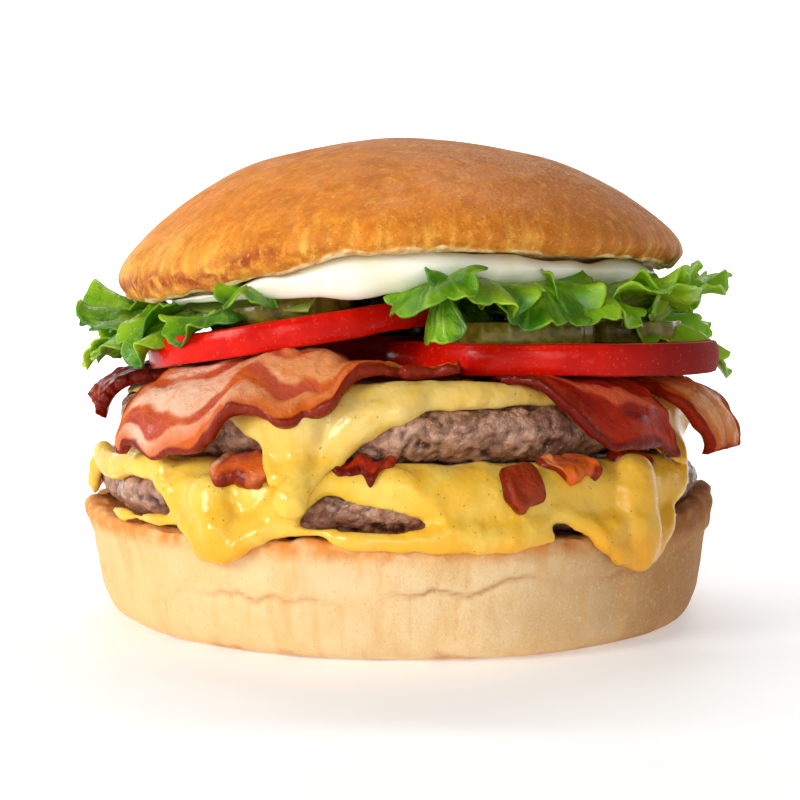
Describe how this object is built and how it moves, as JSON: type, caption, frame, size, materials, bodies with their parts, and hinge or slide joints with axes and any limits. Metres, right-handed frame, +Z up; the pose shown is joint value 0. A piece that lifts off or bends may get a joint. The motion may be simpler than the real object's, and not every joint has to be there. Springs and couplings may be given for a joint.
{
  "type": "bacon burger",
  "caption": "Tall round burger: bun, two beef patties, melted cheese, bacon, tomato, pickles, lettuce and mayonnaise, resting on its flat bottom bun.",
  "frame": {"origin": "centre of the bottom bun's flat underside, on the floor", "axes": "+Z up, -Y the front that the picture shows, +X to the right of the front"},
  "size_m": [0.1219, 0.1199, 0.0859],
  "materials": {
    "crust": "soft baked crust, golden to brown, dusted with flour",
    "crumb": "pale bread side with fine wrinkles and a toasted rim",
    "beef": "craggy seared ground beef with moist glints",
    "cheese": "glossy melted yellow cheese",
    "bacon": "fried bacon, pink fat and dark red lean, glazed",
    "tomato": "wet red tomato skin and cut faces",
    "pickle": "wet olive green pickled cucumber",
    "lettuce": "bright green ruffled leaf",
    "mayonnaise": "smooth glossy white sauce"
  },
  "bodies": {
    "root": {"bun_heel": "crumb", "bun_crown": "crust", "patty_lower": "beef", "patty_upper": "beef", "cheese_lower": "cheese", "cheese_upper": "cheese", "mayonnaise": "mayonnaise", "bacon_end_1": "bacon", "bacon_end_2": "bacon", "bacon_end_3": "bacon", "bacon_end_4": "bacon", "bacon_end_5": "bacon", "bacon_end_6": "bacon", "bacon_end_7": "bacon", "bacon_strip_left_end": "bacon", "bacon_strip_front_left": "bacon", "bacon_strip_front_right": "bacon", "bacon_strip_right_end": "bacon", "bacon_strip_back": "bacon", "tomato_slice_left": "tomato", "tomato_slice_right": "tomato", "tomato_slice_back": "tomato", "pickle_slice_left": "pickle", "pickle_slice_front": "pickle", "pickle_slice_right": "pickle", "pickle_slice_back": "pickle", "lettuce_left": "lettuce", "lettuce_centre": "lettuce", "lettuce_right": "lettuce", "lettuce_back": "lettuce"}
  },
  "joints": []
}
